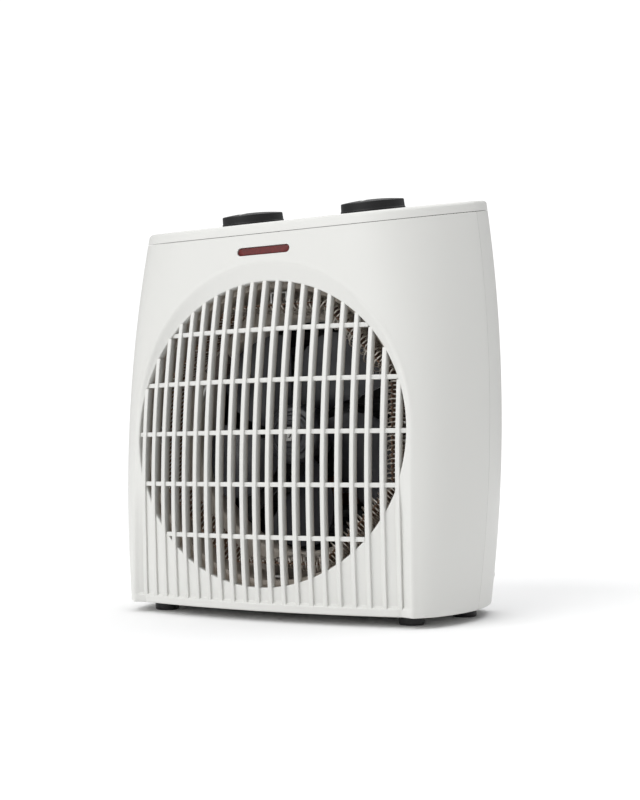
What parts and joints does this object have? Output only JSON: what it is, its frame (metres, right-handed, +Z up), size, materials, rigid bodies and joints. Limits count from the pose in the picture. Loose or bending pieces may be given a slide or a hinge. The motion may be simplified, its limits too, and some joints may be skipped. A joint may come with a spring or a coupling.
{
  "type": "fan heater",
  "caption": "Upright fan heater with a domed slatted round grille, wire element, axial fan, sloping top with two round knobs, and four feet.",
  "frame": {"origin": "bottom centre of the heater's box, on the surface it stands on", "axes": "+Z up, -Y out of the grille, +X to the right seen from the front"},
  "size_m": [0.251, 0.1334, 0.2727],
  "materials": {
    "white_plastic": "fine-grained satin moulding",
    "red_lens": "dark translucent red",
    "lamp_glass": "clear with an orange filament glow",
    "black_plastic": "fine-grained satin moulding",
    "fan_plastic": "semi-gloss black",
    "bakelite": "dull dark phenolic",
    "steel": "zinc plated",
    "laminations": "stacked sheet edges",
    "winding": "enamelled copper under tape",
    "bronze": "sintered bush",
    "resistance_wire": "crimped nickel-chromium wire",
    "mica": "brown laminated mica sheet",
    "rubber": "matte black"
  },
  "bodies": {
    "housing": {"front_shell": "white_plastic", "grille_panel": "white_plastic", "rear_shell": "white_plastic", "top_cover": "white_plastic", "air_duct": "white_plastic", "lamp_holder": "white_plastic", "indicator_lens": "red_lens", "pilot_lamp": "lamp_glass", "cord_inlet_bush": "black_plastic", "cord_clamp": "black_plastic", "mode_switch_body": "bakelite", "thermostat_body": "bakelite", "thermal_cutout": "bakelite", "terminal_block": "bakelite", "thermal_fuse": "steel", "motor_bracket_front": "steel", "motor_bracket_rear": "steel", "motor_mount": "steel", "motor_stator": "laminations", "motor_coil": "winding", "motor_bearing_front": "bronze", "motor_bearing_rear": "bronze", "heating_wire_low": "resistance_wire", "heating_wire_high": "resistance_wire", "mica_board_1": "mica", "mica_board_2": "mica", "mica_board_3": "mica", "mica_board_4": "mica", "mica_board_5": "mica", "mica_board_6": "mica", "mica_board_7": "mica", "mica_board_8": "mica", "element_clip_1": "steel", "element_clip_2": "steel", "element_clip_3": "steel", "element_clip_4": "steel", "foot_front_left": "rubber", "foot_front_right": "rubber", "foot_rear_left": "rubber", "foot_rear_right": "rubber", "housing_screw_lower_left": "steel", "housing_screw_lower_right": "steel", "housing_screw_upper_left": "steel", "housing_screw_upper_right": "steel"},
    "mode_control": {"mode_knob": "black_plastic", "mode_switch_shaft": "steel"},
    "thermostat_control": {"thermostat_knob": "black_plastic", "thermostat_spindle": "steel"},
    "fan_rotor": {"fan_impeller": "fan_plastic", "fan_nut": "steel", "motor_shaft": "steel", "motor_rotor": "laminations"}
  },
  "joints": [
    {"name": "mode_knob_turn", "type": "hinge", "parent": "housing", "child": "mode_control", "pos_m": [-0.0451, 0.0096, 0.2597], "axis": [0, 0.2223, -0.975], "range_deg": [0, 270]},
    {"name": "thermostat_knob_turn", "type": "hinge", "parent": "housing", "child": "thermostat_control", "pos_m": [0.0451, 0.0096, 0.2597], "axis": [0, 0.2223, -0.975], "range_deg": [0, 300]},
    {"name": "fan_spin", "type": "hinge", "parent": "housing", "child": "fan_rotor", "pos_m": [0, 0, 0.1145], "axis": [0, 1, 0], "continuous": true}
  ]
}
